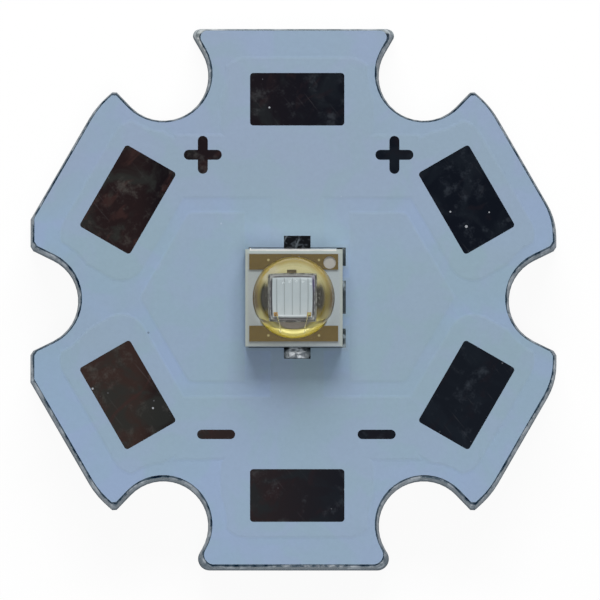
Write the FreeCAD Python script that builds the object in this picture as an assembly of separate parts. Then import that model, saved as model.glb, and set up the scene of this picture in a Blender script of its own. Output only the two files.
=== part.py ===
import FreeCAD, Part
import math
import os

Vector = FreeCAD.Vector
UP = Vector(0, 0, 1)

# A power LED on a star-shaped aluminium circuit board. Sizes are in millimetres. The origin is
# the centre of the board's underside, +Z points up and +Y points to the plus marks.

# Star outline, measured at the underside of the board. The trims lie inside the tip circle. The
# notches and the side arms sit a little low between the flats of the top and bottom arms. Each
# notch opens outwards at the side arms, by an angle in degrees.
tip_diameter = 20.0
flat_trim = 0.30
end_flat_trim = 0.21
side_trim = 0.50
notch_centre_trim = 0.60
notch_radius = 1.62
notch_ring_drop = 0.05
slanted_mouth_angle = 14
side_mouth_angle = 26
side_tip_blunt = 0.11
top_tip_round = 0.24
bottom_tip_round = 0.42
shoulder_round = 3.0
right_corner_round = 2.4
arm_angles = (30, 90, 150, 210, 270, 330)
side_arm_angles = (30, 150, 210, 330)
notch_angles = (0, 60, 120, 180, 240, 300)
side_notch_angles = (0, 180)
notch_to_arm = 30

# Punched edge: the outline shrinks on its way up by these amounts
fracture_height = 0.60
fracture_flare = 0.03
shear_flare = 0.05
roll_height = 0.22
roll_width = 0.08

# Layers of the board, from the bottom up
core_thickness = 1.50
dielectric_thickness = 0.10
copper_thickness = 0.035
mask_over_copper = 0.030
mask_step = 0.006
mask_step_slope = 0.12
mask_copper_cover = 0.05
tin_thickness = 0.020

# The copper and mask artwork sits a little to the right of the punched outline
artwork_shift = 0.13

# Wire pads, set in from the flats
pad_edge_margin = 1.60
pad_length = 3.40
end_pad_width = 1.90
side_pad_width = 2.10
pad_corner = 0.12

# Copper islands round the wire pads and the copper that joins them
island_end_margin = 0.95
island_outer_margin = 0.45
island_inner_margin = 0.55
island_corner = 0.80
bridge_overlap = 0.15
tongue_width = 1.70
notch_clearance = 0.50

# Thermal copper: a hexagon with two channels for the tongues
thermal_side_gap = 0.65
thermal_end_gap = 0.75
thermal_half_height = 2.95
thermal_channel_gap = 0.25
thermal_corner = 0.30

# Polarity marks, each set in from the slanted notch beside it
mark_length = 1.37
plus_stroke = 0.36
minus_stroke = 0.34
plus_notch_gap = 1.60
plus_sideways = 0.42
plus_shift = 0.05
minus_notch_gap = 2.05
minus_sideways = 0.03
minus_shift = -0.03

# LED package and the metal under it. The package lies a little below the artwork's centre, and its
# ceramic was sawn a little to the right of its metal's centre.
package_width = 3.50
package_drop = 0.055
saw_offset = 0.01
ceramic_thickness = 0.60
package_pad_thickness = 0.035
package_pad_side_margin = 0.10
package_pad_end_margin = 0.05
pole_pad_width = 0.57
thermal_land_width = 1.20
via_radius = 0.055
via_sides = 12
via_x = 0.91
via_end_margin = 0.39

# Solder lands and solder
upper_land_overhang = 0.10
lower_land_overhang = 0.02
tab_width = 0.96
tab_reach = 0.47
solder_gap = 0.050
solder_wet_height = 0.26
solder_line_margin = 0.20
solder_toe_margin = 0.005
solder_sag = 0.32
solder_bump_height = 0.11

# Metal on top of the ceramic
top_metal_thickness = 0.035
bar_side_margin = 0.15
bar_end_margin = 0.175
bar_width = 0.565
field_margin = 0.01
gap_top = -0.63
gap_width = 0.21
polarity_hole_radius = 0.225
polarity_hole_side_margin = 0.455
polarity_hole_end_margin = 0.485
chip_notch_width = 0.24
chip_notch_depth = 0.09
chip_notch_x = -0.05

# LED chip, its electrode and its bond wires
chip_x = -0.036
chip_y = -0.006
attach_width = 1.26
attach_thickness = 0.020
chip_width = 1.20
chip_base_height = 0.11
mesa_width = 1.08
mesa_height = 0.030
electrode_thickness = 0.020
finger_width = 0.016
finger_count = 5
finger_side_margin = 0.125
bus_width = 0.045
bond_pad_width = 0.11
bond_pad_inset = 0.03
wire_radius = 0.014
wire_sides = 6
wire_bends = 7
wire_loop_height = 0.10
wire_peak = 0.42
wire_lean = 13
wire_landing_y = -0.95
ball_radius = 0.040
ball_height = 0.025
stitch_length = 0.10
stitch_width = 0.050
stitch_height = 0.016

# Silicone lens
lens_skin = 0.050
dome_radius = 1.45
dome_drop = 0.02

# Heights of the layers, worked out from the thicknesses above
core_top = core_thickness
dielectric_top = core_top + dielectric_thickness
copper_top = dielectric_top + copper_thickness
mask_top = copper_top + mask_over_copper
mask_low = mask_top - mask_step
tin_top = copper_top + tin_thickness
package_bottom = copper_top + solder_gap
ceramic_bottom = package_bottom + package_pad_thickness
ceramic_top = ceramic_bottom + ceramic_thickness
metal_top = ceramic_top + top_metal_thickness
attach_top = metal_top + attach_thickness
chip_base_top = attach_top + chip_base_height
mesa_top = chip_base_top + mesa_height
electrode_top = mesa_top + electrode_thickness
lens_skin_top = metal_top + lens_skin

# Places worked out from the sizes above
edge_draft = fracture_flare + shear_flare + roll_width
flat_to_flat = tip_diameter - 2 * flat_trim
end_flat_height = tip_diameter / 2 - end_flat_trim
side_cut_width = tip_diameter - 2 * side_trim
notch_pitch_radius = tip_diameter / 2 - notch_centre_trim
pad_outer_edge = flat_to_flat / 2 - pad_edge_margin
island_inner_edge = pad_outer_edge - max(side_pad_width, end_pad_width) - island_inner_margin
thermal_apothem = island_inner_edge - thermal_side_gap
bridge_inner_edge = thermal_half_height + thermal_end_gap
package_wall = package_width / 2
package_pad_half_length = package_wall - package_pad_side_margin
package_pad_outer = package_wall - package_pad_end_margin
pole_land_inner = package_pad_outer - pole_pad_width
tab_outer = package_wall + tab_reach
via_y = package_wall - via_end_margin
bar_half_length = package_wall - bar_side_margin
bar_outer = package_wall - bar_end_margin
bar_inner = bar_outer - bar_width
field_radius = dome_radius + field_margin
gap_bottom = gap_top - gap_width
polarity_hole_x = package_wall - polarity_hole_side_margin
polarity_hole_y = package_wall - polarity_hole_end_margin
finger_pitch = (mesa_width - 2 * finger_side_margin) / (finger_count - 1)

# Points closer together than this count as touching
touch = 1e-4


def at_angle(radius, angle, height):
    """Point at a radius and an angle in degrees from +X."""
    turn = math.radians(angle)
    return Vector(radius * math.cos(turn), radius * math.sin(turn), height)


def block(x_low, x_high, y_low, y_high, z_low, z_high):
    """Box between two corners."""
    corner = Vector(x_low, y_low, z_low)
    return Part.makeBox(x_high - x_low, y_high - y_low, z_high - z_low, corner)


def disc(radius, x, y, z_low, z_high):
    """Upright cylinder."""
    return Part.makeCylinder(radius, z_high - z_low, Vector(x, y, z_low))


def upright_edges(shape):
    """Edges that run straight up."""
    found = []
    for edge in shape.Edges:
        box = edge.BoundBox
        if box.ZLength > 1e-6 and box.XLength < 1e-6 and box.YLength < 1e-6:
            found.append(edge)
    return found


def rounded_block(x_low, x_high, y_low, y_high, corner, z_low, z_high):
    """Box with its upright corners rounded."""
    shape = block(x_low, x_high, y_low, y_high, z_low, z_high)
    return shape.makeFillet(corner, upright_edges(shape))


def joined(shapes):
    """One solid from shapes that touch or overlap."""
    result = shapes[0]
    for shape in shapes[1:]:
        result = result.fuse(shape)
    return result.removeSplitter()


def shift_artwork(shape):
    """Move copper or mask artwork from its own centre to its place on the board."""
    shape.translate(Vector(artwork_shift, 0, 0))
    return shape


def turned(shape, angle):
    """Turn a shape about the board's centre."""
    shape.rotate(Vector(0, 0, 0), UP, angle)
    return shape


# Star outline and board blanks

def hexagon(apothem, z_low, z_high):
    """Hexagonal prism with its flats on the arms' outer ends."""
    corner_radius = apothem / math.cos(math.radians(30))
    corners = [at_angle(corner_radius, angle, z_low) for angle in notch_angles]
    outline = Part.makePolygon(corners + corners[:1])
    return Part.Face(outline).extrude(UP * (z_high - z_low))


def mouth_opening(angle, side):
    """Angle at which a notch opens on its anticlockwise (+1) or clockwise (-1) side."""
    if angle in side_notch_angles:
        return math.radians(side_mouth_angle)
    beside_side_arm = (angle + side * notch_to_arm) % 360 in side_arm_angles
    return math.radians(slanted_mouth_angle) if beside_side_arm else 0.0


def mouth_wall(angle, side, radius, height):
    """Straight wall of a notch's mouth for a notch on +X, from its circle to past the board."""
    opening = mouth_opening(angle, side)
    x = notch_pitch_radius - radius * math.sin(opening)
    y = radius * math.cos(opening)
    y_far = y + (tip_diameter - x) * math.tan(opening)
    return [Vector(x, side * y, height), Vector(tip_diameter, side * y_far, height)]


def notch_cutter(angle, radius, z_low, z_high):
    """Screw notch: round, with straight mouth walls that run outwards from the circle."""
    corners = mouth_wall(angle, 1, radius, z_low) + mouth_wall(angle, -1, radius, z_low)[::-1]
    outline = Part.makePolygon(corners + corners[:1])
    mouth = Part.Face(outline).extrude(UP * (z_high - z_low))
    return turned(disc(radius, notch_pitch_radius, 0, z_low, z_high).fuse(mouth), angle)


def along_and_across(point, angle):
    """Distances of a point along a direction from the centre and across it, anticlockwise."""
    turn = math.radians(angle)
    along = point.x * math.cos(turn) + point.y * math.sin(turn)
    return along, point.y * math.cos(turn) - point.x * math.sin(turn)


def end_flat(end, inset):
    """Distance in Y from the notch ring's centre to the top (+1) or bottom (-1) flat."""
    return end_flat_height + end * notch_ring_drop - inset


def on_side_flat(point, inset):
    """Whether a point lies on the flat of a side arm."""
    flat = flat_to_flat / 2 - inset
    return any(abs(along_and_across(point, angle)[0] - flat) < touch for angle in side_arm_angles)


def on_end_flat(point, inset):
    """Whether a point lies on the flat of the top or bottom arm."""
    return any(abs(end * point.y - end_flat(end, inset)) < touch for end in (-1, 1))


def on_tip_circle(point, inset):
    """Whether a point lies on the circle through the tips."""
    return abs(math.hypot(point.x, point.y) - (tip_diameter / 2 - inset)) < touch


def on_side_cut(point, inset):
    """Whether a point lies on the left or right side cut."""
    return abs(abs(point.x) - (side_cut_width / 2 - inset)) < touch


def on_outer_side(point, inset):
    """Whether a point lies on a flat, on the tip circle or on a side cut."""
    tests = (on_side_flat, on_end_flat, on_tip_circle, on_side_cut)
    return any(test(point, inset) for test in tests)


def on_notch_wall(point, inset):
    """Whether a point lies on the wall of a notch."""
    misses = []
    for angle in notch_angles:
        along, across = along_and_across(point, angle)
        out = along - notch_pitch_radius
        opening = mouth_opening(angle, 1 if across > 0 else -1)
        from_axis = math.hypot(out, across)
        if out * math.cos(opening) + abs(across) * math.sin(opening) > 0:
            from_axis = abs(across) * math.cos(opening) - out * math.sin(opening)
        misses.append(from_axis - (notch_radius + inset))
    return min(abs(miss) for miss in misses) < touch


def tip_edges(star, inset):
    """Upright edges where a notch meets the outside: side, top and bottom tips."""
    end_arm_limit = notch_pitch_radius * math.sin(math.radians(60))
    found = {"side": [], "top": [], "bottom": []}
    for edge in upright_edges(star):
        point = edge.Vertexes[0].Point
        if not (on_outer_side(point, inset) and on_notch_wall(point, inset)):
            continue
        if point.y > end_arm_limit:
            found["top"].append(edge)
        elif point.y < -end_arm_limit:
            found["bottom"].append(edge)
        else:
            found["side"].append(edge)
    return found


def end_tip_limit(end, inset):
    """Largest rounding that the straight wall of a notch mouth leaves room for."""
    half_mouth = notch_radius + inset
    tilt = math.radians(60)
    wall_end = (end_flat(end, inset) - half_mouth * math.cos(tilt)) / math.sin(tilt)
    return 0.95 * (wall_end - notch_pitch_radius) * math.tan(tilt / 2)


def shoulder_edges(star, inset):
    """Upright edges where a side flat meets the tip circle."""
    return [edge for edge in upright_edges(star)
            if on_side_flat(edge.Vertexes[0].Point, inset) and on_tip_circle(edge.Vertexes[0].Point, inset)]


def shoulder_limit(inset):
    """Largest rounding that the tip circle leaves room for between a side flat and a tip."""
    circle = tip_diameter / 2 - inset
    turn = math.acos((flat_to_flat / 2 - inset) / circle)
    opening = math.radians(slanted_mouth_angle)
    wall = notch_radius + inset - notch_pitch_radius * math.sin(opening)
    free = math.radians(30) - turn - opening - math.asin(wall / circle)
    return 0.9 * (free * circle - 2 * side_tip_blunt) / math.tan(turn / 2)


def right_corner_edges(star, inset):
    """Upright edges where a side flat meets the right side cut."""
    found = []
    for edge in upright_edges(star):
        point = edge.Vertexes[0].Point
        if point.x > 0 and on_side_flat(point, inset) and on_side_cut(point, inset):
            found.append(edge)
    return found


def right_corner_limit(inset):
    """Largest rounding that the right side cut leaves room for between a side flat and a tip."""
    tilt = math.radians(30)
    flat = flat_to_flat / 2 - inset
    half_cut = side_cut_width / 2 - inset
    corner = (flat - half_cut * math.cos(tilt)) / math.sin(tilt)
    opening = math.radians(side_mouth_angle)
    wall = notch_radius + inset + (half_cut - notch_pitch_radius) * math.sin(opening)
    free = corner - wall / math.cos(opening) - 2 * side_tip_blunt
    return 0.9 * free / math.tan(tilt / 2)


def star_prism(inset, z_low, z_high):
    """Star blank whose outline lies inside the full outline by the inset."""
    reach = tip_diameter
    half_cut = side_cut_width / 2 - inset
    prism = hexagon(flat_to_flat / 2 - inset, z_low, z_high)
    side_arms = prism.common(disc(tip_diameter / 2 - inset, 0, 0, z_low, z_high))
    side_arms = side_arms.common(block(-half_cut, half_cut, -reach, reach, z_low, z_high))
    shoulder = min(shoulder_round, shoulder_limit(inset))
    side_arms = side_arms.makeFillet(shoulder, shoulder_edges(side_arms, inset))
    corner = min(right_corner_round, right_corner_limit(inset))
    side_arms = side_arms.makeFillet(corner, right_corner_edges(side_arms, inset))
    strip = notch_pitch_radius * math.cos(math.radians(60))
    end_arms = block(-strip, strip, -end_flat(-1, inset), end_flat(1, inset), z_low, z_high)
    star = joined([side_arms, end_arms])
    for angle in notch_angles:
        star = star.cut(notch_cutter(angle, notch_radius + inset, z_low, z_high))
    star = star.makeChamfer(side_tip_blunt, tip_edges(star, inset)["side"])
    top_round = min(top_tip_round, end_tip_limit(1, inset))
    star = star.makeFillet(top_round, tip_edges(star, inset)["top"])
    bottom_round = min(bottom_tip_round, end_tip_limit(-1, inset))
    star = star.makeFillet(bottom_round, tip_edges(star, inset)["bottom"])
    star.translate(Vector(0, -notch_ring_drop, 0))
    return star


def star_outline(inset, height):
    """Closed outline of the star at a height."""
    blank = star_prism(inset, height, height + core_thickness)
    for face in blank.Faces:
        if face.BoundBox.ZMax < height + 1e-6:
            return face.OuterWire


def aluminium_core():
    """Base plate: broken and flared low down, sheared above, rolled over at the top edge."""
    outlines = [
        star_outline(0.0, 0.0),
        star_outline(fracture_flare, fracture_height),
        star_outline(fracture_flare + shear_flare, core_top - roll_height),
        star_outline(edge_draft, core_top),
    ]
    return Part.makeLoft(outlines, True, True)


def dielectric_layer():
    """Thin insulating sheet between the core and the copper."""
    return star_prism(edge_draft, core_top, dielectric_top)


# Wire pads and polarity marks, as prisms that serve for both windows and tin

def pad_width(angle):
    """Radial width of the wire pad on an arm."""
    return end_pad_width if angle in (90, 270) else side_pad_width


def wire_pad(angle, z_low, z_high):
    """Wire pad on the arm at an angle, with its long side across the arm."""
    inner = pad_outer_edge - pad_width(angle)
    half = pad_length / 2
    pad = rounded_block(inner, pad_outer_edge, -half, half, pad_corner, z_low, z_high)
    return shift_artwork(turned(pad, angle))


def stroke(length, width, z_low, z_high):
    """Straight stroke along X with round ends, centred on the origin."""
    half = length / 2 - width / 2
    middle = block(-half, half, -width / 2, width / 2, z_low, z_high)
    ends = [disc(width / 2, x, 0, z_low, z_high) for x in (-half, half)]
    return joined([middle] + ends)


def inside_notch(side, end, notch_gap, sideways):
    """Place inwards of the slanted notch at a side (-1 or +1) and an end (-1 or +1)."""
    along = notch_pitch_radius - notch_radius - notch_gap
    slant = math.radians(60)
    x = along * math.cos(slant) + sideways * math.sin(slant)
    y = along * math.sin(slant) - sideways * math.cos(slant)
    return Vector(side * x, end * y, 0)


def plus_mark(side, z_low, z_high):
    """Plus sign left (-1) or right (+1) of the top wire pad."""
    level = stroke(mark_length, plus_stroke, z_low, z_high)
    upright = turned(stroke(mark_length, plus_stroke, z_low, z_high), 90)
    mark = joined([level, upright])
    mark.translate(inside_notch(side, 1, plus_notch_gap, plus_sideways) + Vector(plus_shift, 0, 0))
    return shift_artwork(mark)


def minus_mark(side, z_low, z_high):
    """Minus sign left (-1) or right (+1) above the bottom wire pad."""
    mark = stroke(mark_length, minus_stroke, z_low, z_high)
    mark.translate(inside_notch(side, -1, minus_notch_gap, minus_sideways) + Vector(minus_shift, 0, 0))
    return shift_artwork(mark)


def land_overhang(side):
    """How far the land at +Y (+1) or -Y (-1) runs out past the package."""
    return upper_land_overhang if side > 0 else lower_land_overhang


def package_edge(side):
    """Distance from the artwork's centre to the package's wall at +Y (+1) or -Y (-1)."""
    return package_wall - side * package_drop


def land_outer(side):
    """Distance from the artwork's centre to the outer edge of the land at +Y (+1) or -Y (-1)."""
    return package_edge(side) + land_overhang(side)


def pole_land(side, z_low, z_high):
    """Land under one pole of the LED with its outer tab, for +Y (+1) or -Y (-1)."""
    half = package_wall
    strip = block(-half, half, pole_land_inner, land_outer(side), z_low, z_high)
    tab = block(-tab_width / 2, tab_width / 2, pole_land_inner, tab_outer, z_low, z_high)
    land = joined([strip, tab])
    return shift_artwork(turned(land, 0 if side > 0 else 180))


def thermal_land(z_low, z_high):
    """Land under the middle of the LED."""
    width = thermal_land_width / 2
    return shift_artwork(block(-package_wall, package_wall, -width, width, z_low, z_high))


# Copper, which the mask follows with a little cover all round

def pad_island(angle, grow, z_low, z_high):
    """Copper round one wire pad."""
    inner = island_inner_edge - grow
    outer = pad_outer_edge + island_outer_margin + grow
    half = pad_length / 2 + island_end_margin + grow
    island = rounded_block(inner, outer, -half, half, island_corner + grow, z_low, z_high)
    return turned(island, angle)


def pole_copper(side, grow, z_low, z_high):
    """Copper of one pole: three pad islands, their bridge and the tongue to the LED."""
    islands = [pad_island(angle, grow, z_low, z_high) for angle in (30, 90, 150)]
    low = bridge_inner_edge - grow
    high = island_inner_edge + bridge_overlap * 2 + grow
    tilt = math.radians(30)
    island_edge_x = (island_inner_edge - bridge_inner_edge * math.sin(tilt)) / math.cos(tilt)
    half = island_edge_x + bridge_overlap + grow
    bridge = block(-half, half, low, high, z_low, z_high)
    half = tongue_width / 2 + grow
    tongue = block(-half, half, land_outer(side), island_inner_edge, z_low, z_high)
    half = package_wall + grow
    land = block(-half, half, pole_land_inner - grow, land_outer(side) + grow, z_low, z_high)
    tab_half = tab_width / 2 + grow
    tab = block(-tab_half, tab_half, land_outer(side), tab_outer + grow, z_low, z_high)
    copper = joined(islands + [bridge, tongue, land, tab])
    keep_out = notch_radius + edge_draft + notch_clearance - grow
    for angle in notch_angles:
        centre = at_angle(notch_pitch_radius, angle, 0)
        copper = copper.cut(disc(keep_out, centre.x, centre.y, z_low, z_high))
    return shift_artwork(turned(copper, 0 if side > 0 else 180))


def thermal_copper(grow, z_low, z_high):
    """Heat-spreading copper: two wings joined by the strip under the LED."""
    reach = thermal_apothem * 2
    half_height = thermal_half_height + grow
    wings = hexagon(thermal_apothem + grow, z_low, z_high)
    wings = wings.common(block(-reach, reach, -half_height, half_height, z_low, z_high))
    channel = package_wall + thermal_channel_gap - grow
    strip = thermal_land_width / 2 + grow
    for low, high in ((strip, reach), (-reach, -strip)):
        wings = wings.cut(block(-channel, channel, low, high, z_low, z_high))
    outer_edges = [edge for edge in upright_edges(wings)
                   if abs(edge.Vertexes[0].Point.x) > channel + 1e-3]
    return shift_artwork(wings.makeFillet(thermal_corner, outer_edges))


def copper_shapes(grow, z_low, z_high):
    """The three copper areas."""
    return [
        pole_copper(1, grow, z_low, z_high),
        pole_copper(-1, grow, z_low, z_high),
        thermal_copper(grow, z_low, z_high),
    ]


def window_shapes(z_low, z_high):
    """Every place where the mask leaves the metal bare."""
    shapes = [wire_pad(angle, z_low, z_high) for angle in arm_angles]
    for side in (-1, 1):
        shapes.append(plus_mark(side, z_low, z_high))
        shapes.append(minus_mark(side, z_low, z_high))
        shapes.append(pole_land(side, z_low, z_high))
    shapes.append(thermal_land(z_low, z_high))
    return shapes


def lowest_outline(shape):
    """Outer wire of the shape's underside."""
    floor = shape.BoundBox.ZMin
    for face in shape.Faces:
        if face.BoundBox.ZMax < floor + 1e-6:
            return face.OuterWire


def solder_mask():
    """Mask coat: low over the bare dielectric, stepping up with a slope over the copper."""
    mask = star_prism(edge_draft, dielectric_top, mask_low)
    foot = copper_shapes(mask_copper_cover + mask_step_slope, mask_low, mask_top)
    crest = copper_shapes(mask_copper_cover, mask_top, mask_top + mask_step)
    for low, high in zip(foot, crest):
        plateau = Part.makeLoft([lowest_outline(low), lowest_outline(high)], True, True)
        mask = mask.fuse(plateau)
    mask = mask.removeSplitter()
    for copper in copper_shapes(0.0, dielectric_top, copper_top):
        mask = mask.cut(copper)
    for window in window_shapes(copper_top, mask_top + mask_step):
        mask = mask.cut(window)
    return mask


# Solder and the metal under the LED package

def seat_led(shape):
    """Move a shape from the LED's own centre to the LED's place on the board."""
    shape.translate(Vector(0, -package_drop, 0))
    return shape


def on_ceramic(shape):
    """Move a shape from the centre of the LED's top metal to the centre of its ceramic."""
    shape.translate(Vector(saw_offset, 0, 0))
    return shape


def pole_package_pad(side):
    """Bottom pad of one pole of the package."""
    half = package_pad_half_length
    pad = block(-half, half, pole_land_inner, package_pad_outer, package_bottom, ceramic_bottom)
    return on_ceramic(turned(pad, 0 if side > 0 else 180))


def thermal_package_pad():
    """Bottom pad in the middle of the package."""
    half = package_pad_half_length
    width = thermal_land_width / 2
    return on_ceramic(block(-half, half, -width, width, package_bottom, ceramic_bottom))


def solder_line(side):
    """Hollow solder slope along the package, from under its edge out to the end of the land."""
    back = package_pad_outer
    wall = package_wall
    toe = package_wall + land_overhang(side) - solder_toe_margin
    high = tin_top + solder_wet_height
    sag = Vector(0, wall + (toe - wall) * solder_sag, (tin_top + high) / 2)
    corners = [
        Vector(0, wall, high),
        Vector(0, wall, ceramic_bottom),
        Vector(0, back, ceramic_bottom),
        Vector(0, back, tin_top),
        Vector(0, toe, tin_top),
    ]
    slope = Part.Arc(corners[-1], sag, corners[0]).toShape()
    face = Part.Face(Part.Wire(Part.makePolygon(corners).Edges + [slope]))
    half = package_wall - solder_line_margin
    line = face.extrude(Vector(2 * half, 0, 0))
    line.translate(Vector(-half, 0, 0))
    return seat_led(on_ceramic(turned(line, 0 if side > 0 else 180)))


def solder_bump():
    """Low dome of spare solder on the cathode tab, trimmed to the tab and the package."""
    wall = package_edge(-1)
    half_length = (tab_outer - wall) / 2
    middle_y = wall + half_length
    radius = (half_length ** 2 + solder_bump_height ** 2) / (2 * solder_bump_height)
    ball = Part.makeCylinder(radius, tab_width, Vector(-tab_width / 2, middle_y, 0), Vector(1, 0, 0))
    ball.translate(Vector(0, 0, tin_top + solder_bump_height - radius))
    trim = block(-tab_width / 2, tab_width / 2, wall, tab_outer, tin_top, ceramic_bottom * 2)
    bump = ball.common(trim)
    ends = [edge for edge in bump.Edges if edge.BoundBox.XLength < 1e-6
            and edge.BoundBox.ZMax > tin_top + solder_bump_height / 2]
    bump = bump.makeChamfer(solder_bump_height * 0.6, ends)
    return shift_artwork(turned(bump, 180))


def pole_solder(side):
    """Solder of one pole: a wetted land, the joint under the package and its outer slope."""
    land = pole_land(side, copper_top, tin_top)
    half = package_pad_half_length
    joint = block(-half, half, pole_land_inner, package_pad_outer, tin_top, package_bottom)
    joint = seat_led(on_ceramic(turned(joint, 0 if side > 0 else 180)))
    pieces = [land, joint.common(pole_land(side, tin_top, package_bottom)), solder_line(side)]
    if side < 0:
        pieces.append(solder_bump())
    return joined(pieces)


def thermal_solder():
    """Solder under the middle of the package."""
    land = thermal_land(copper_top, tin_top)
    half = package_pad_half_length
    width = thermal_land_width / 2
    joint = seat_led(on_ceramic(block(-half, half, -width, width, tin_top, package_bottom)))
    return joined([land, joint.common(thermal_land(tin_top, package_bottom))])


# Ceramic package with its vias and top metal

def many_sided_post(radius, sides, x, y):
    """Upright post through the ceramic, nearly round."""
    corners = [at_angle(radius, 360 * number / sides, ceramic_bottom) for number in range(sides)]
    post = Part.Face(Part.makePolygon(corners + corners[:1])).extrude(UP * ceramic_thickness)
    post.translate(Vector(x, y, 0))
    return post


def via_shapes():
    """The four filled vias by name. They end at the ceramic's faces, under the metal."""
    shapes = {}
    for row, y in (("anode", via_y), ("cathode", -via_y)):
        for column, x in (("left", -via_x), ("right", via_x)):
            shapes[f"via_{row}_{column}"] = many_sided_post(via_radius, via_sides, x, y)
    return shapes


def ceramic_substrate():
    """Square ceramic plate with holes for the vias."""
    half = package_wall
    plate = on_ceramic(block(-half, half, -half, half, ceramic_bottom, ceramic_top))
    for via in via_shapes().values():
        plate = plate.cut(via)
    return plate


def top_metal_blank():
    """Round field and both bars before the poles are parted."""
    half = bar_half_length
    field = disc(field_radius, 0, 0, ceramic_top, metal_top)
    upper = block(-half, half, bar_inner, bar_outer, ceramic_top, metal_top)
    lower = block(-half, half, -bar_outer, -bar_inner, ceramic_top, metal_top)
    return joined([field, upper, lower])


def anode_metal():
    """Upper bar and the field under the chip, with the polarity hole and the chip notch."""
    reach = package_width
    metal = top_metal_blank()
    metal = metal.common(block(-reach, reach, gap_top, reach, ceramic_top, metal_top))
    hole = disc(polarity_hole_radius, polarity_hole_x, polarity_hole_y, ceramic_top, metal_top)
    left = chip_notch_x - chip_notch_width / 2
    low = chip_y + attach_width / 2
    notch = block(left, left + chip_notch_width, low, low + chip_notch_depth, ceramic_top, metal_top)
    return metal.cut(hole).cut(notch)


def cathode_metal():
    """Lower bar and the bottom segment of the field, where the wires land."""
    reach = package_width
    metal = top_metal_blank()
    return metal.common(block(-reach, reach, -reach, gap_bottom, ceramic_top, metal_top))


# Chip, electrode and wires

def centred_on_chip(width, z_low, z_high):
    """Square plate centred on the chip."""
    half = width / 2
    return block(chip_x - half, chip_x + half, chip_y - half, chip_y + half, z_low, z_high)


def led_chip():
    """Chip base with its slightly smaller emitting top."""
    base = centred_on_chip(chip_width, attach_top, chip_base_top)
    mesa = centred_on_chip(mesa_width, chip_base_top, mesa_top)
    return joined([base, mesa])


def bond_pad_centre(side):
    """Centre of the left (-1) or right (+1) bond pad."""
    offset = mesa_width / 2 - bond_pad_inset - bond_pad_width / 2
    return chip_x + side * offset, chip_y - offset


def chip_electrode():
    """Finger lines along Y, the bus that joins them and the two bond pads."""
    pieces = []
    low = chip_y - mesa_width / 2 + bond_pad_inset
    high = chip_y + mesa_width / 2 - bond_pad_inset
    for number in range(finger_count):
        x = chip_x - mesa_width / 2 + finger_side_margin + finger_pitch * number
        pieces.append(block(x - finger_width / 2, x + finger_width / 2, low, high,
                            mesa_top, electrode_top))
    left, middle = bond_pad_centre(-1)
    right = bond_pad_centre(1)[0]
    pieces.append(block(left, right, low, low + bus_width, mesa_top, electrode_top))
    half = bond_pad_width / 2
    for x in (left, right):
        pieces.append(block(x - half, x + half, middle - half, middle + half,
                            mesa_top, electrode_top))
    return joined(pieces)


def many_sided_tube(arc, radius):
    """Thin tube along an arc that stands in a plane of constant X, lofted ring by ring."""
    rings = []
    span = arc.LastParameter - arc.FirstParameter
    for number in range(wire_bends + 1):
        place = arc.FirstParameter + span * number / wire_bends
        centre = arc.value(place)
        side = Vector(radius, 0, 0)
        out = arc.tangent(place)[0].cross(side)
        corners = []
        for corner in range(wire_sides):
            turn = 2 * math.pi * corner / wire_sides
            corners.append(centre + side * math.cos(turn) + out * math.sin(turn))
        rings.append(Part.makePolygon(corners + corners[:1]))
    return Part.makeLoft(rings, True, True)


def bond_wire(side):
    """Gold wire from a bond pad over the gap to the cathode metal, leaning a little inwards."""
    x, y = bond_pad_centre(side)
    reach = y - wire_landing_y
    start = Vector(0, 0, electrode_top + ball_height)
    finish = Vector(0, -reach, metal_top + wire_radius)
    top = Vector(0, -reach * wire_peak, start.z + wire_loop_height)
    loop = many_sided_tube(Part.Arc(start, top, finish), wire_radius)
    ball = disc(ball_radius, 0, 0, electrode_top, electrode_top + ball_height)
    half = stitch_width / 2
    back = -reach - stitch_length / 2
    stitch = block(-half, half, back, back + stitch_length, metal_top, metal_top + stitch_height)
    wire = turned(joined([loop, ball, stitch]), -side * wire_lean)
    wire.translate(Vector(x, y, 0))
    return wire.cut(led_chip()).cut(cathode_metal()).cut(chip_electrode())


def lens():
    """Silicone skin over the whole package with its dome, cast round what it covers."""
    half = package_wall
    skin = on_ceramic(block(-half, half, -half, half, ceramic_top, lens_skin_top))
    centre = Vector(0, 0, lens_skin_top - dome_drop)
    ball = Part.makeSphere(dome_radius, centre)
    above = on_ceramic(block(-half, half, -half, half, ceramic_top, centre.z + dome_radius))
    silicone = joined([skin, ball.common(above)])
    covered = [anode_metal(), cathode_metal(), die_attach(), led_chip(), chip_electrode()]
    covered += [bond_wire(-1), bond_wire(1)]
    for piece in covered:
        silicone = silicone.cut(piece)
    return silicone


def die_attach():
    """Solder film under the chip."""
    return centred_on_chip(attach_width, metal_top, attach_top)


def led_pieces():
    """Every piece of the LED package by name, in its place on the board."""
    pieces = {
        "package_anode_pad": pole_package_pad(1),
        "package_cathode_pad": pole_package_pad(-1),
        "package_thermal_pad": thermal_package_pad(),
        "ceramic_substrate": ceramic_substrate(),
        "anode_metal": anode_metal(),
        "cathode_metal": cathode_metal(),
        "die_attach": die_attach(),
        "led_chip": led_chip(),
        "chip_electrode": chip_electrode(),
        "bond_wire_left": bond_wire(-1),
        "bond_wire_right": bond_wire(1),
        "lens": lens(),
    }
    pieces.update(via_shapes())
    return {name: seat_led(piece) for name, piece in pieces.items()}


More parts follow.
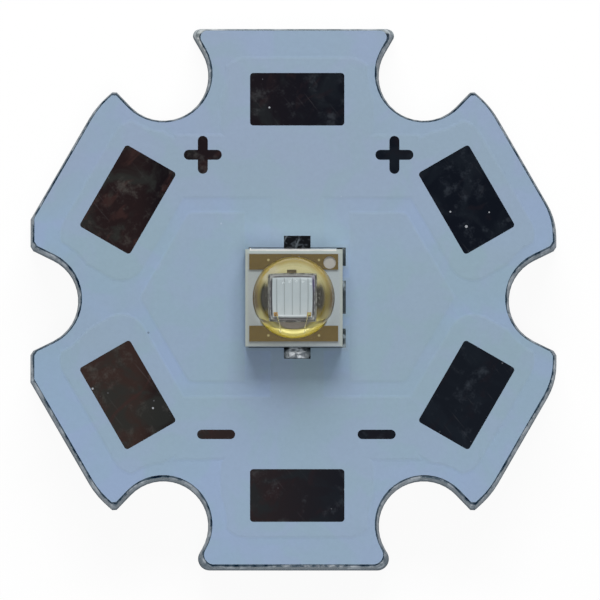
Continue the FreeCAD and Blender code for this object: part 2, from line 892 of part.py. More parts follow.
def all_pieces():
    """Every piece by name."""
    pad_names = {90: "top", 150: "upper_left", 30: "upper_right",
                 270: "bottom", 210: "lower_left", 330: "lower_right"}
    pieces = {
        "aluminium_core": aluminium_core(),
        "dielectric_layer": dielectric_layer(),
        "anode_copper": pole_copper(1, 0.0, dielectric_top, copper_top),
        "cathode_copper": pole_copper(-1, 0.0, dielectric_top, copper_top),
        "thermal_copper": thermal_copper(0.0, dielectric_top, copper_top),
        "solder_mask": solder_mask(),
        "solder_anode": pole_solder(1),
        "solder_cathode": pole_solder(-1),
        "solder_thermal": thermal_solder(),
    }
    for angle in arm_angles:
        pieces["wire_pad_" + pad_names[angle]] = wire_pad(angle, copper_top, tin_top)
    for side, word in ((-1, "left"), (1, "right")):
        pieces["plus_mark_" + word] = plus_mark(side, copper_top, tin_top)
        pieces["minus_mark_" + word] = minus_mark(side, copper_top, tin_top)
    pieces.update(led_pieces())
    return pieces


os.makedirs("parts", exist_ok=True)
for name, piece in all_pieces().items():
    piece.exportStep(f"parts/{name}.step")
    print(name, len(piece.Solids), "solid(s), volume", round(piece.Volume, 4), piece.isValid())
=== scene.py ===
import math

import bmesh
import bpy
from mathutils import Matrix, Vector


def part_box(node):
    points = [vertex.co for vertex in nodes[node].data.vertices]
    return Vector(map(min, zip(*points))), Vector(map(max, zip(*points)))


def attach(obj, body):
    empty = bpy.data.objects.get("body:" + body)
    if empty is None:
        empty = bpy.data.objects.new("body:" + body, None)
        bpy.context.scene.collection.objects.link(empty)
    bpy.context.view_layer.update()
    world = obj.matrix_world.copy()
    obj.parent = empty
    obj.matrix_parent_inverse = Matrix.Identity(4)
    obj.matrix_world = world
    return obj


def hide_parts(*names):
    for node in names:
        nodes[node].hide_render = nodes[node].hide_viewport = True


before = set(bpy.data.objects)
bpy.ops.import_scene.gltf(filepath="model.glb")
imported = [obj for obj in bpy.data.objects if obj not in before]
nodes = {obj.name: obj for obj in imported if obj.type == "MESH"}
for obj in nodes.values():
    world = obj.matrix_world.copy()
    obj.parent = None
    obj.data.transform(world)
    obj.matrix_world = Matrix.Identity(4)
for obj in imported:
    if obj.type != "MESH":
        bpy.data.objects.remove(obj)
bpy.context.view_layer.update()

# Lengths on the object are in millimetres, and MM turns them into Blender's metres
MM = 0.001


def box_mm(name):
    """Lowest and highest corner of a node, in millimetres."""
    low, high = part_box(name)
    return low / MM, high / MM


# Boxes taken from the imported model
core_low, core_high = box_mm("aluminium_core")
mask_top = box_mm("solder_mask")[1].z
pad_low, pad_high = box_mm("wire_pad_top")
ceramic_top = box_mm("ceramic_substrate")[1].z
anode_low, anode_high = box_mm("anode_metal")
cathode_low, cathode_high = box_mm("cathode_metal")
chip_low, chip_high = box_mm("led_chip")
electrode_low, electrode_high = box_mm("chip_electrode")
wire_foot = box_mm("bond_wire_left")[0].y
lens_low, lens_high = box_mm("lens")

# Centre of the LED's top metal, which the dome shares
metal_x = (anode_low.x + anode_high.x) / 2
metal_y = (cathode_low.y + anode_high.y) / 2

# Centre, half width and far side of the LED's sawn body
body_x = (lens_low.x + lens_high.x) / 2
body_y = (lens_low.y + lens_high.y) / 2
body_half = (lens_high.x - lens_low.x) / 2
body_far = body_y + body_half

# Middle of the board's artwork
pad_middle = (pad_low.x + pad_high.x) / 2

# Photograph: width of the view, the lens, and the point on the board that the camera looks at
frame_width = 21.62 * MM
lens_mm = 1000.0
sensor_mm = 36.0
target = Vector((0.23, -0.10, 1.665)) * MM
lean_back = math.radians(3.1)
lean_right = math.radians(-0.2)

# Lamps, in metres and watts. The main one stands low on the far side of the board, so many
# degrees up and a little to one side
key_side = 0.02
key_elevation = 25.5
key_distance = 0.20
key_size = (0.17, 0.05)
key_power = 0.545

# Soft lamp above, a little in front
fill_towards = (0.05, -0.35, 1)
fill_distance = 0.30
fill_size = (0.12, 0.12)
fill_power = 0.21

# Small lamps that show in the dome, each given by the tilt of the dome's surface where it shows
spot_tilts = ((-0.25, 0.355), (-0.10, 0.375), (0.07, 0.38), (0.22, 0.365), (0.42, 0.33))
spot_distance = 0.20
spot_size = 0.022
spot_power = 0.006

# Light from all sides
world_strength = 0.22

# Floor: share of its look that is plain white, so that its shadow stays faint, half its width
# in metres, and how far it lies below the board
floor_whiteness = 0.93
floor_half = 1.5
floor_gap = 0.02

# Board edge: depth of the rolled edge, which is painted dark as shade, height of the broken zone and of the
# foot, which is painted dark as shade, and how far from the far end the wall is painted light
roll_depth = 0.12
fracture_height = 0.60
foot_height = 0.2
far_wall_depth = 0.28

# Silicone: height of the skin, radius of the dome and height of its centre, radius of the
# meniscus at its foot, and width of the bevel round the skin
skin_top = 2.405
dome_radius = 1.45
dome_base = 2.385
meniscus = 0.045
skin_bevel = 0.02

# Window in the gold, set in from the metal's corner, and notch above the chip, by its place
# from the dome's axis and the chip's far side
window_inset = (0.305, 0.310)
window_radius = 0.25
notch_shift = -0.05
notch_rise = 0.08
notch_half = (0.15, 0.09)

# Stretch of the package's far edge where a highlight is painted
highlight_centre = body_x - 0.03
highlight_half = 1.54

# Width of the chip's ledge round its emitting top
ledge_width = 0.06


def srgb(red, green, blue):
    """Linear colour from a colour as it is seen, 0 to 255."""
    channels = []
    for value in (red, green, blue):
        part = value / 255
        channels.append(part / 12.92 if part <= 0.04045 else ((part + 0.055) / 1.055) ** 2.4)
    return (*channels, 1.0)


class Graph:
    """Shader nodes of a material or of the world."""

    def __init__(self, tree):
        self.tree = tree

    def node(self, kind, **settings):
        made = self.tree.nodes.new(kind)
        for key, value in settings.items():
            setattr(made, key, value)
        return made

    def link(self, source, socket):
        self.tree.links.new(source, socket)

    def feed(self, value, socket):
        """Give a socket a plain value or another node's output."""
        if isinstance(value, bpy.types.NodeSocket):
            self.link(value, socket)
        else:
            socket.default_value = value

    def math(self, operation, first, second=0.0):
        made = self.node("ShaderNodeMath", operation=operation)
        self.feed(first, made.inputs[0])
        self.feed(second, made.inputs[1])
        return made.outputs[0]

    def product(self, first, *others):
        """Values multiplied together."""
        for other in others:
            first = self.math("MULTIPLY", first, other)
        return first

    def mix_shaders(self, factor, first, second):
        made = self.node("ShaderNodeMixShader")
        self.link(factor, made.inputs[0])
        self.link(first, made.inputs[1])
        self.link(second, made.inputs[2])
        return made.outputs[0]

    def seen(self):
        """1 for rays from the camera, off a mirror or through glass."""
        path = self.node("ShaderNodeLightPath")
        direct = self.math("MAXIMUM", path.outputs["Is Camera Ray"], path.outputs["Is Glossy Ray"])
        return self.math("MAXIMUM", direct, path.outputs["Is Transmission Ray"])


class Paint(Graph):
    """A procedural material being built. Positions are in millimetres in the object's frame."""

    def __init__(self, name, metallic=0.0, roughness=0.5, specular=0.5):
        self.material = bpy.data.materials.new(name)
        self.material.use_nodes = True
        super().__init__(self.material.node_tree)
        self.shader = self.tree.nodes["Principled BSDF"]
        self.set("Metallic", metallic)
        self.set("Roughness", roughness)
        self.set("Specular IOR Level", specular)
        coordinates = self.node("ShaderNodeTexCoord")
        scale = self.node("ShaderNodeVectorMath", operation="SCALE")
        self.link(coordinates.outputs["Object"], scale.inputs[0])
        scale.inputs["Scale"].default_value = 1 / MM
        self.place = scale.outputs[0]
        split = self.node("ShaderNodeSeparateXYZ")
        self.link(self.place, split.inputs[0])
        self.x, self.y, self.z = split.outputs

    def set(self, name, value):
        self.feed(value, self.shader.inputs[name])

    def surface(self, shader):
        """Use another shader in place of the plain one."""
        self.link(shader, self.tree.nodes["Material Output"].inputs["Surface"])

    def between(self, value, low, high):
        """0 at low, 1 at high, eased in between."""
        made = self.node("ShaderNodeMapRange", interpolation_type="SMOOTHSTEP")
        self.feed(value, made.inputs["Value"])
        made.inputs["From Min"].default_value = low
        made.inputs["From Max"].default_value = high
        return made.outputs["Result"]

    def apart(self, value, centre):
        """How far a value is from a centre, on either side."""
        return self.math("ABSOLUTE", self.math("SUBTRACT", value, centre))

    def band(self, value, centre, half_width, softness):
        """1 inside a band, 0 outside."""
        return self.between(self.apart(value, centre), half_width + softness, half_width)

    def mix(self, factor, first, second, mode="MIX"):
        made = self.node("ShaderNodeMix", data_type="RGBA", blend_type=mode)
        self.feed(factor, made.inputs["Factor"])
        self.feed(first, made.inputs[6])
        self.feed(second, made.inputs[7])
        return made.outputs[2]

    def blend(self, factor, first, second):
        """Plain number between two numbers."""
        made = self.node("ShaderNodeMix", data_type="FLOAT")
        self.feed(factor, made.inputs["Factor"])
        self.feed(first, made.inputs[2])
        self.feed(second, made.inputs[3])
        return made.outputs[0]

    def stretched(self, stretch, turn=0.0):
        """Position with each axis scaled, after a turn about Z."""
        made = self.node("ShaderNodeMapping", vector_type="TEXTURE")
        self.link(self.place, made.inputs["Vector"])
        made.inputs["Rotation"].default_value = (0, 0, turn)
        made.inputs["Scale"].default_value = stretch
        return made.outputs[0]

    def noise(self, scale, detail=3.0, roughness=0.5, distortion=0.0, place=None):
        made = self.node("ShaderNodeTexNoise")
        self.link(place or self.place, made.inputs["Vector"])
        made.inputs["Scale"].default_value = scale
        made.inputs["Detail"].default_value = detail
        made.inputs["Roughness"].default_value = roughness
        made.inputs["Distortion"].default_value = distortion
        return made.outputs["Fac"]

    def specks(self, scale, size, share, seed=0.0):
        """Scattered dots: a share of the cells of a random grid holds one dot each."""
        moved = self.node("ShaderNodeVectorMath", operation="ADD")
        self.link(self.place, moved.inputs[0])
        moved.inputs[1].default_value = (seed, seed * 0.7, 0)
        made = self.node("ShaderNodeTexVoronoi")
        self.link(moved.outputs[0], made.inputs["Vector"])
        made.inputs["Scale"].default_value = scale
        chosen = self.node("ShaderNodeSeparateColor")
        self.link(made.outputs["Color"], chosen.inputs[0])
        grow = self.between(chosen.outputs[1], 0.0, 1.0)
        near = self.math("LESS_THAN", made.outputs["Distance"], self.product(grow, size * scale))
        picked = self.math("LESS_THAN", chosen.outputs[0], share)
        return self.product(near, picked)

    def bump(self, height, distance):
        made = self.node("ShaderNodeBump")
        self.link(height, made.inputs["Height"])
        made.inputs["Distance"].default_value = distance * MM
        self.link(made.outputs[0], self.shader.inputs["Normal"])

    def radius_from(self, x, y):
        """Distance from an upright line."""
        east = self.math("SUBTRACT", self.x, x)
        north = self.math("SUBTRACT", self.y, y)
        square = self.math("ADD", self.product(east, east), self.product(north, north))
        return self.math("SQRT", square)

    def inside_box(self, centre, half_x, half_y, softness):
        """1 inside an upright box."""
        across = self.band(self.x, centre[0], half_x, softness)
        along = self.band(self.y, centre[1], half_y, softness)
        return self.product(across, along)


# Materials of the board

def painted_shade_far_side(paint):
    """Share of the painted shade on the mask beyond the package's far side."""
    reach = paint.between(paint.y, body_far + 0.9, body_far + 0.1)
    start = paint.between(paint.y, body_y, body_far)
    across = paint.band(paint.x, body_x - 0.2, 1.2, 0.9)
    return paint.product(reach, start, across)


def mask_material():
    """Pale blue-grey coat, a little less blue where it runs over the copper, with painted shade beyond the
    package's far side.
    """
    paint = Paint("mask coat", roughness=0.42, specular=0.3)
    over_copper = paint.between(paint.z, mask_top - 0.005, mask_top - 0.001)
    colour = paint.mix(over_copper, srgb(140, 162, 189), srgb(140, 161, 181))
    clouds = paint.between(paint.noise(0.32, detail=2.0, distortion=0.4), 0.38, 0.66)
    colour = paint.mix(paint.product(clouds, 0.55), colour, srgb(139, 160, 174))
    upper = paint.product(paint.between(paint.y, 1.5, 5.0), 0.6)
    colour = paint.mix(upper, colour, srgb(140, 156, 177))
    lower = paint.product(paint.between(paint.y, -1.0, -8.0), 0.35)
    colour = paint.mix(lower, colour, srgb(153, 174, 203))
    # painted shade on the mask beyond the package's far side
    colour = paint.mix(paint.product(painted_shade_far_side(paint), 0.9), colour, srgb(121, 139, 157))
    patches = paint.between(paint.noise(0.55, detail=3.0, distortion=0.8), 0.42, 0.58)
    tint = paint.mix(patches, (1.012, 0.994, 1.02, 1), (0.985, 1.008, 0.98, 1))
    colour = paint.mix(1.0, colour, tint, mode="MULTIPLY")
    fine = paint.noise(7.0, detail=5.0, roughness=0.65)
    grain = paint.mix(fine, (0.94, 0.94, 0.94, 1), (1.06, 1.06, 1.06, 1))
    colour = paint.mix(1.0, colour, grain, mode="MULTIPLY")
    dirt = paint.specks(0.9, 0.045, 0.10, seed=3.1)
    colour = paint.mix(paint.product(dirt, 0.6), colour, srgb(70, 84, 96))
    pale = paint.specks(0.7, 0.06, 0.08, seed=8.4)
    colour = paint.mix(paint.product(pale, 0.35), colour, srgb(190, 203, 216))
    paint.set("Base Color", colour)
    paint.set("Roughness", paint.blend(paint.noise(2.5), 0.36, 0.5))
    paint.bump(paint.noise(3.2, detail=4.0), 0.004)
    return paint.material


def sheared_colour(paint, streaks):
    """Bright streaked zone, duller in bands, with painted light round the board's far left corner."""
    colour = paint.mix(streaks, srgb(98, 110, 120), srgb(198, 204, 210))
    bands = paint.between(paint.noise(1.4, detail=3.0, roughness=0.6), 0.36, 0.66)
    colour = paint.mix(paint.product(bands, 0.45), colour, srgb(88, 96, 108))
    # painted light on the walls round the board's far left corner
    corner = paint.between(paint.radius_from(core_low.x * 0.38, core_high.y), 1.5, 0.5)
    return paint.mix(corner, colour, paint.mix(streaks, srgb(120, 128, 130), srgb(236, 238, 238)))


def core_material():
    """Punched aluminium: rolled top edge painted dark as shade and dark reflection, bright sheared zone,
    rough broken zone below, a foot painted dark as shade, and far walls painted light.
    """
    paint = Paint("punched aluminium", metallic=1.0)
    paint.set("Specular Tint", (0.31, 0.345, 0.37, 1.0))
    streak_shape = paint.noise(3.0, detail=5.0, roughness=0.6, place=paint.stretched((1, 1, 5)))
    streaks = paint.between(streak_shape, 0.36, 0.64)
    grains = paint.noise(9.0, detail=5.0, roughness=0.7)
    wander = paint.math("SUBTRACT", paint.noise(0.9, detail=4.0), 0.5)
    wavy = paint.math("ADD", paint.z, paint.product(wander, 0.5))
    wavier = paint.math("ADD", paint.z, paint.product(wander, 0.9))
    broken = paint.between(wavier, fracture_height + 0.05, fracture_height - 0.1)
    torn = paint.mix(grains, srgb(74, 82, 90), srgb(148, 155, 162))
    colour = paint.mix(broken, sheared_colour(paint, streaks), torn)
    # rolled edge painted dark: painted shade and painted dark reflection at the top of the wall
    roll_line = core_high.z - roll_depth
    rolled = paint.between(wavy, roll_line - 0.03, roll_line + 0.03)
    colour = paint.mix(rolled, colour, paint.mix(streaks, srgb(46, 54, 64), srgb(96, 108, 120)))
    # foot painted dark: painted shade as a dark line where the board meets the floor
    foot = paint.between(wavy, foot_height, foot_height - 0.1)
    colour = paint.mix(foot, colour, paint.mix(streaks, srgb(48, 56, 64), srgb(92, 100, 108)))
    # far end of the walls painted light
    far_line = core_high.y - far_wall_depth
    painted_far_light = paint.between(paint.y, far_line, far_line + 0.08)
    colour = paint.mix(painted_far_light, colour, srgb(158, 166, 168), mode="SCREEN")
    underside = paint.between(paint.z, 0.01, 0.0)
    brushed = paint.noise(6.0, detail=4.0, place=paint.stretched((0.12, 6, 1), turn=0.5))
    colour = paint.mix(underside, colour, paint.mix(brushed, srgb(168, 172, 177), srgb(205, 208, 212)))
    paint.set("Base Color", colour)
    paint.set("Roughness", paint.blend(broken, paint.blend(streaks, 0.22, 0.4), 0.6))
    paint.bump(paint.blend(broken, streaks, grains), 0.012)
    return paint.material


def dielectric_material():
    """Filled resin, seen only as a thin line at the board's edge."""
    paint = Paint("filled resin", roughness=0.6)
    fleck = paint.noise(12.0, detail=4.0)
    paint.set("Base Color", paint.mix(fleck, srgb(58, 66, 72), srgb(104, 112, 118)))
    paint.bump(fleck, 0.004)
    return paint.material


def copper_material():
    """Etched copper foil, hidden under the mask apart from its edges."""
    paint = Paint("copper foil", metallic=1.0, roughness=0.35)
    stain = paint.noise(4.0, detail=4.0)
    paint.set("Base Color", paint.mix(stain, srgb(150, 92, 66), srgb(196, 128, 92)))
    paint.bump(stain, 0.002)
    return paint.material


def dark_reflection_and_stains(paint):
    """Colour of the tin: a painted dark reflection, brownish on the left and blue-black on the right, with
    blotches, rust and haze stains.
    """
    # dark tones, brownish on the left and blue-black on the right, are a painted dark reflection
    side = paint.between(paint.x, -6.5, 3.5)
    lower = paint.between(paint.y, 3.0, -3.0)
    upper_base = paint.mix(side, srgb(36, 27, 28), srgb(17, 21, 29))
    lower_base = paint.mix(side, srgb(53, 41, 38), srgb(22, 26, 33))
    colour = paint.mix(lower, upper_base, lower_base)
    inner_side = paint.band(paint.x, -4.4, 0.3, 1.0)
    colour = paint.mix(paint.product(inner_side, 0.75), colour, srgb(18, 16, 20))
    blotch_shape = paint.noise(0.75, detail=4.0, roughness=0.55, distortion=0.6)
    blotch = paint.product(paint.between(blotch_shape, 0.46, 0.62), 0.8)
    colour = paint.mix(blotch, colour, paint.mix(side, srgb(44, 46, 44), srgb(26, 31, 38)))
    rust_place = paint.stretched((1.5, 0.7, 1), turn=0.9)
    rust_shape = paint.noise(1.1, detail=3.0, distortion=1.2, place=rust_place)
    rust = paint.product(paint.between(rust_shape, 0.55, 0.7), 0.6)
    colour = paint.mix(rust, colour, paint.mix(side, srgb(60, 42, 40), srgb(28, 26, 32)))
    haze_shape = paint.noise(1.6, detail=6.0, roughness=0.75)
    haze = paint.product(paint.between(haze_shape, 0.52, 0.74), 0.5)
    return paint.mix(haze, colour, paint.mix(side, srgb(84, 82, 78), srgb(62, 68, 76)))


def tin_material():
    """Mirror tin of the wire pads and marks, painted dark as a dark reflection, with scratches, dust and
    stains.
    """
    paint = Paint("tarnished tin", metallic=1.0, specular=0.3)
    colour = dark_reflection_and_stains(paint)
    scratch_shape = paint.noise(3.0, detail=3.0, place=paint.stretched((6.0, 0.18, 1), turn=-0.9))
    scratches = paint.product(paint.between(scratch_shape, 0.66, 0.74), 0.25)
    colour = paint.mix(scratches, colour, srgb(92, 90, 92))
    dust = paint.specks(1.4, 0.062, 0.42, seed=5.3)
    colour = paint.mix(dust, colour, srgb(158, 161, 166))
    fine_dust = paint.product(paint.specks(3.6, 0.03, 0.20, seed=1.7), 0.65)
    colour = paint.mix(fine_dust, colour, srgb(112, 115, 120))
    paint.set("Base Color", colour)
    paint.set("Roughness", paint.blend(paint.noise(1.3, detail=4.0), 0.08, 0.3))
    paint.bump(paint.noise(1.8, detail=2.0), 0.004)
    return paint.material


def along_painted_highlight(paint):
    """1 along the stretch of the package's far edge where a highlight is painted."""
    return paint.band(paint.x, highlight_centre, highlight_half, 0.04)


def flat_solder(paint, lumps):
    """Dark flat tin on the lands, scratched, and lighter to the right of the package."""
    colour = paint.mix(paint.between(lumps, 0.5, 0.68), srgb(20, 22, 25), srgb(66, 72, 78))
    scratch_shape = paint.noise(3.0, detail=3.0, place=paint.stretched((5.0, 0.5, 1), turn=1.2))
    colour = paint.mix(paint.between(scratch_shape, 0.6, 0.68), colour, srgb(92, 100, 106))
    right_side = body_x + body_half
    beside = paint.between(paint.x, right_side - 0.01, right_side + 0.01)
    spots = paint.between(paint.noise(2.6, detail=2.0), 0.5, 0.62)
    return paint.mix(beside, colour, paint.mix(spots, srgb(60, 68, 72), srgb(128, 140, 146)))


def raised_solder(paint, lumps):
    """Lumpy solder, with a painted reflection making it bright at the middle of the package's near side,
    and duller elsewhere.
    """
    # painted reflection: bright solder at the middle of the package's near side
    painted_bright_reflection = paint.mix(paint.between(lumps, 0.35, 0.65), srgb(96, 102, 108), srgb(206, 211, 215))
    dull = paint.mix(lumps, srgb(44, 50, 54), srgb(120, 128, 132))
    middle = paint.between(paint.radius_from(pad_middle, body_y - body_half - 0.2), 0.46, 0.2)
    return paint.mix(middle, dull, painted_bright_reflection)


def solder_material():
    """Solder: dark and flat on the lands, lumpy up the package, with a painted highlight as a bright line
    on its far side.
    """
    paint = Paint("solder", metallic=1.0)
    land_top = pad_high.z
    raised = paint.between(paint.z, land_top + 0.004, land_top + 0.03)
    lumps = paint.noise(5.0, detail=4.0, distortion=0.8)
    colour = paint.mix(raised, flat_solder(paint, lumps), raised_solder(paint, lumps))
    # painted highlight: a bright white line along the package's far edge
    highlight_start = paint.between(paint.y, body_far - 0.02, body_far)
    highlight_end = paint.between(paint.y, body_far + 0.09, body_far + 0.06)
    painted_highlight = paint.product(highlight_start, highlight_end, along_painted_highlight(paint))
    paint.set("Base Color", paint.mix(painted_highlight, colour, srgb(250, 252, 252)))
    paint.set("Roughness", paint.blend(raised, 0.12, paint.blend(lumps, 0.25, 0.5)))
    paint.bump(lumps, 0.03)
    return paint.material


# Materials of the package

def place_in_ring(paint):
    """Distance from the dome's axis, and how far up and right of it, as shares of that distance."""
    radius = paint.radius_from(metal_x, metal_y)
    away = paint.math("MAXIMUM", radius, 0.05)
    up = paint.math("DIVIDE", paint.math("SUBTRACT", paint.y, metal_y), away)
    right = paint.math("DIVIDE", paint.math("SUBTRACT", paint.x, metal_x), away)
    return radius, up, right


def painted_arc_below(paint, radius, up):
    """Colour, share and reach of the painted arc of light that the lens throws on the near side of the
    ring.
    """
    # painted light: the caustic arc and its bright line, brightest towards the rim
    nearer = paint.product(paint.between(up, -1.0, -0.86), 0.07)
    reach = paint.math("ADD", radius, nearer)
    colour = paint.mix(paint.between(reach, 0.82, 0.92), srgb(150, 140, 92), srgb(208, 196, 114))
    painted_bright_line = paint.product(paint.band(reach, 0.96, 0.015, 0.06), paint.between(up, -0.6, -0.95))
    colour = paint.mix(painted_bright_line, colour, srgb(238, 229, 152))
    colour = paint.mix(paint.between(radius, 0.98, 1.3), colour, srgb(238, 216, 80))
    return colour, paint.between(up, -0.55, -0.78), reach


def bare_ceramic(paint, grain):
    """Ceramic outside the lens, lighter towards its edges, with a painted highlight as a bright line on the
    far one.
    """
    left_tone = paint.mix(grain, srgb(168, 176, 177), srgb(184, 192, 194))
    right_tone = paint.mix(grain, srgb(174, 185, 191), srgb(190, 201, 208))
    colour = paint.mix(paint.between(paint.x, -1.2, 1.2), left_tone, right_tone)
    far_edge = paint.between(paint.y, anode_high.y, anode_high.y + 0.06)
    colour = paint.mix(far_edge, colour, srgb(196, 208, 208))
    side_edge = paint.between(paint.apart(paint.x, body_x), body_half - 0.14, body_half - 0.04)
    colour = paint.mix(paint.product(side_edge, 0.7), colour, srgb(188, 198, 192))
    # painted highlight along the ceramic's far edge
    uneven = paint.math("ADD", paint.y, paint.product(paint.noise(2.2, detail=3.0), 0.06))
    edge_highlight = paint.between(uneven, body_far - 0.042, body_far - 0.012)
    return paint.mix(paint.product(edge_highlight, along_painted_highlight(paint)), colour, srgb(252, 253, 252))


def ceramic_in_gap(paint, colour):
    """Add the ceramic between the two poles, as it shows through the lens, with a painted reflection of the
    gold near the dome's rim and the painted arc of light.
    """
    radius, up, _ = place_in_ring(paint)
    gap_middle = (anode_low.y + cathode_high.y) / 2
    in_gap = paint.band(paint.y, gap_middle, anode_low.y - cathode_high.y, 0.02)
    ring = paint.between(radius, dome_radius, dome_radius - 0.03)
    # painted reflection of the gold where the gap meets the dome's rim
    painted_gold_reflection = paint.mix(paint.noise(4.0), srgb(140, 134, 104), srgb(154, 148, 116))
    colour = paint.mix(paint.product(in_gap, ring), colour, painted_gold_reflection)
    strip = paint.mix(paint.noise(4.0), srgb(163, 154, 145), srgb(189, 179, 168))
    colour = paint.mix(paint.product(in_gap, paint.between(radius, 1.25, 1.0)), colour, strip)
    # painted arc of light thrown by the lens
    arc_light, low_side, reach = painted_arc_below(paint, radius, up)
    painted_arc_share = paint.product(paint.between(reach, 0.78, 0.87), low_side, ring, in_gap)
    return paint.mix(painted_arc_share, colour, paint.mix(1.0, arc_light, (1.15, 1.15, 1.12, 1), mode="MULTIPLY"))


def ceramic_material():
    """Fired ceramic, duller in the gap, in the window and in the notch above the chip."""
    paint = Paint("ceramic", roughness=0.62, specular=0.3)
    grain = paint.noise(18.0, detail=4.0, roughness=0.6)
    colour = ceramic_in_gap(paint, bare_ceramic(paint, grain))
    from_window = paint.radius_from(anode_high.x - window_inset[0], anode_high.y - window_inset[1])
    window = paint.between(from_window, window_radius + 0.01, window_radius - 0.01)
    colour = paint.mix(window, colour, srgb(186, 184, 180))
    notch_centre = (metal_x + notch_shift, chip_high.y + notch_rise)
    notch = paint.inside_box(notch_centre, *notch_half, 0.02)
    paint.set("Base Color", paint.mix(notch, colour, srgb(116, 104, 68)))
    paint.bump(grain, 0.003)
    return paint.material


def ring_colour(paint, radius, up, right):
    """Gold under the dome, painted with reflections and light: dark at the sides, light above, brightest in
    the painted arc of light below.
    """
    # painted reflections: dark sides, light top, and a painted highlight line at the crest
    side = paint.mix(paint.between(radius, 0.95, 1.08), srgb(117, 103, 46), srgb(103, 78, 2))
    top = paint.mix(paint.between(radius, 0.85, 1.0), srgb(198, 192, 144), srgb(186, 166, 92))
    painted_rim_highlight = paint.product(paint.band(radius, 1.10, 0.03, 0.05), 0.6)
    top = paint.mix(painted_rim_highlight, top, srgb(212, 190, 118))
    top = paint.mix(paint.between(radius, 1.22, 1.34), top, srgb(224, 200, 116))
    colour = paint.mix(paint.between(up, 0.0, 0.72), side, top)
    # painted lit tone on the lower sides of the ring
    lower_side = paint.product(paint.band(up, -0.55, 0.1, 0.25), paint.between(radius, 0.86, 1.0))
    painted_lit = paint.mix(paint.between(right, -0.3, 0.3), srgb(176, 170, 116), srgb(150, 140, 92))
    colour = paint.mix(lower_side, colour, painted_lit)
    arc_light, low_side, _ = painted_arc_below(paint, radius, up)
    return paint.mix(low_side, colour, arc_light)


def beside_chip(paint, colour, radius, up, right):
    """Add the dark patches left and right of the chip, and the light one at its far left corner."""
    chip_side = paint.math("ADD", radius, paint.product(right, 0.04))
    patch = paint.product(paint.between(paint.math("ABSOLUTE", up), 0.6, 0.3),
                          paint.between(chip_side, 0.91, 0.79))
    glints = paint.between(paint.noise(16.0, detail=3.0, roughness=0.6), 0.6, 0.7)
    glints = paint.product(glints, paint.between(radius, 0.78, 0.68), 0.7)
    dark = paint.mix(glints, srgb(34, 34, 29), srgb(150, 154, 146))
    colour = paint.mix(paint.product(patch, 0.95), colour, dark)
    far_left = paint.product(paint.band(up, 0.72, 0.1, 0.2), paint.between(right, -0.3, -0.6),
                             paint.band(radius, 0.88, 0.08, 0.08))
    return paint.mix(paint.product(far_left, 0.9), colour, srgb(204, 198, 168))


def gold_material():
    """Plated top metal: dull gold bars, with painted reflections under the dome and the painted light and
    dark arcs that the lens throws.
    """
    paint = Paint("gold plate", metallic=1.0)
    brush = paint.noise(9.0, detail=4.0, place=paint.stretched((0.25, 2.5, 1)))
    bars = paint.mix(brush, srgb(92, 76, 33), srgb(112, 94, 46))
    radius, up, right = place_in_ring(paint)
    ring = beside_chip(paint, ring_colour(paint, radius, up, right), radius, up, right)
    field = paint.between(radius, dome_radius + 0.015, dome_radius + 0.005)
    colour = paint.mix(field, bars, ring)
    for name in ("via_anode_left", "via_anode_right", "via_cathode_left", "via_cathode_right"):
        low, high = box_mm(name)
        middle = (low + high) / 2
        dot = paint.product(paint.between(paint.radius_from(middle.x, middle.y), 0.055, 0.03), 0.8)
        colour = paint.mix(dot, colour, srgb(190, 180, 130))
    paint.set("Base Color", colour)
    paint.set("Roughness", paint.blend(brush, 0.3, 0.45))
    paint.bump(brush, 0.003)
    return paint.material


def via_material():
    """Plated copper fill of the vias and the package's underside."""
    paint = Paint("plated fill", metallic=1.0, roughness=0.4)
    stain = paint.noise(10.0, detail=3.0)
    paint.set("Base Color", paint.mix(stain, srgb(150, 128, 76), srgb(190, 166, 106)))
    paint.bump(stain, 0.002)
    return paint.material


def attach_material():
    """Thin film of joining metal that shows as a light line round the chip."""
    paint = Paint("joining film", metallic=1.0, roughness=0.35)
    ripple = paint.between(paint.noise(7.0, detail=4.0), 0.4, 0.6)
    paint.set("Base Color", paint.mix(ripple, srgb(104, 104, 100), srgb(172, 174, 170)))
    paint.bump(ripple, 0.004)
    return paint.material


def chip_top(paint, cloud, centre_y):
    """Light emitting top, with a painted highlight as a pale haze at its far side."""
    colour = paint.mix(cloud, srgb(178, 191, 198), srgb(194, 207, 214))
    # painted highlight: pale haze along the chip's far side
    haze_shape = paint.between(paint.noise(3.0, detail=4.0, roughness=0.65), 0.35, 0.65)
    far = paint.between(paint.y, chip_high.y - 0.17, chip_high.y - 0.07)
    haze = paint.product(far, paint.blend(haze_shape, 0.35, 1.0))
    colour = paint.mix(haze, colour, srgb(222, 232, 240))
    near = paint.between(paint.y, centre_y, chip_low.y + 0.1)
    return paint.mix(paint.product(near, 0.6), colour, srgb(206, 214, 218))


def chip_ledge(paint, east, north, half):
    """Dark ledge round the top, with a light outer edge and lighter corners."""
    specks = paint.between(paint.noise(9.0, detail=3.0), 0.42, 0.58)
    edge = paint.mix(specks, srgb(112, 114, 116), srgb(176, 180, 184))
    far_side = paint.product(paint.between(paint.y, chip_high.y - 0.09, chip_high.y - 0.05), 0.6)
    edge = paint.mix(far_side, edge, srgb(196, 198, 198))
    near_side = paint.between(paint.y, chip_low.y + 0.09, chip_low.y + 0.05)
    edge = paint.mix(near_side, edge, srgb(130, 126, 130))
    groove = paint.mix(paint.between(north, half - 0.1, half - 0.04), srgb(44, 46, 56), srgb(104, 106, 110))
    at_edge = paint.between(paint.math("MAXIMUM", east, north), half - 0.022, half - 0.01)
    corner = paint.between(paint.math("MINIMUM", east, north), half - 0.16, half - 0.04)
    return paint.mix(paint.product(corner, 0.85), paint.mix(at_edge, groove, edge), srgb(170, 173, 174))


